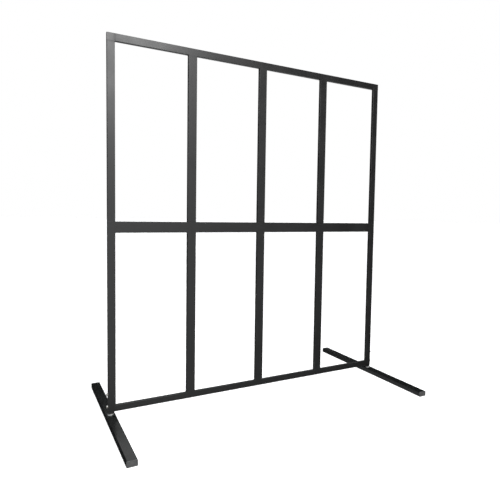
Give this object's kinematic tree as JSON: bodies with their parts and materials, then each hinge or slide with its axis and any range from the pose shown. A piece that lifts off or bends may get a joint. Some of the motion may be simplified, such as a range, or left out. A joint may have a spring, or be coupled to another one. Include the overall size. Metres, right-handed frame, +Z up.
{
  "type": "partition wall",
  "caption": "Free-standing open-frame partition wall of black rectangular steel tube, with a grid of open bays and a swivelling flat foot under each end.",
  "frame": {"origin": "on the floor, under the middle of the panel, at mid width and mid depth", "axes": "+X along the panel to the right seen from the front, +Y to the rear, +Z up"},
  "size_m": [1.822, 1.09, 2.046],
  "materials": {
    "powder_coat": "satin black powder coat with a fine orange peel",
    "foot_powder_coat": "satin black powder coat, slightly scuffed",
    "zinc_plate": "bright zinc plate",
    "cap_plastic": "moulded black polyethylene, fine grain",
    "black_oxide": "black oxide steel"
  },
  "bodies": {
    "panel": {"bottom_rail": "powder_coat", "mid_rail": "powder_coat", "top_rail": "powder_coat", "lower_mullion_left": "powder_coat", "upper_mullion_left": "powder_coat", "mullion_stub_left": "powder_coat", "lower_mullion_centre": "powder_coat", "upper_mullion_centre": "powder_coat", "mullion_stub_centre": "powder_coat", "lower_mullion_right": "powder_coat", "upper_mullion_right": "powder_coat", "mullion_stub_right": "powder_coat", "lower_upright_left": "powder_coat", "upper_upright_left": "powder_coat", "upright_spigot_left": "powder_coat", "top_rail_plug_left": "cap_plastic", "foot_block_left": "black_oxide", "block_bolts_left": "zinc_plate", "block_washers_left": "zinc_plate", "pivot_bolt_left": "zinc_plate", "pivot_washer_left": "zinc_plate", "lower_upright_right": "powder_coat", "upper_upright_right": "powder_coat", "upright_spigot_right": "powder_coat", "top_rail_plug_right": "cap_plastic", "foot_block_right": "black_oxide", "block_bolts_right": "zinc_plate", "block_washers_right": "zinc_plate", "pivot_bolt_right": "zinc_plate", "pivot_washer_right": "zinc_plate", "leg_screws": "black_oxide"},
    "left_foot": {"foot_tube_left": "foot_powder_coat", "swivel_washer_left": "zinc_plate", "foot_cap_left_front": "cap_plastic", "foot_cap_left_rear": "cap_plastic"},
    "right_foot": {"foot_tube_right": "foot_powder_coat", "swivel_washer_right": "zinc_plate", "foot_cap_right_front": "cap_plastic", "foot_cap_right_rear": "cap_plastic"}
  },
  "joints": [
    {"name": "foot_swivel_left", "type": "hinge", "parent": "panel", "child": "left_foot", "pos_m": [-0.886, 0, 0.03], "axis": [0, 0, 1], "range_deg": [-90, 90]},
    {"name": "foot_swivel_right", "type": "hinge", "parent": "panel", "child": "right_foot", "pos_m": [0.886, 0, 0.03], "axis": [0, 0, 1], "range_deg": [-90, 90]}
  ]
}
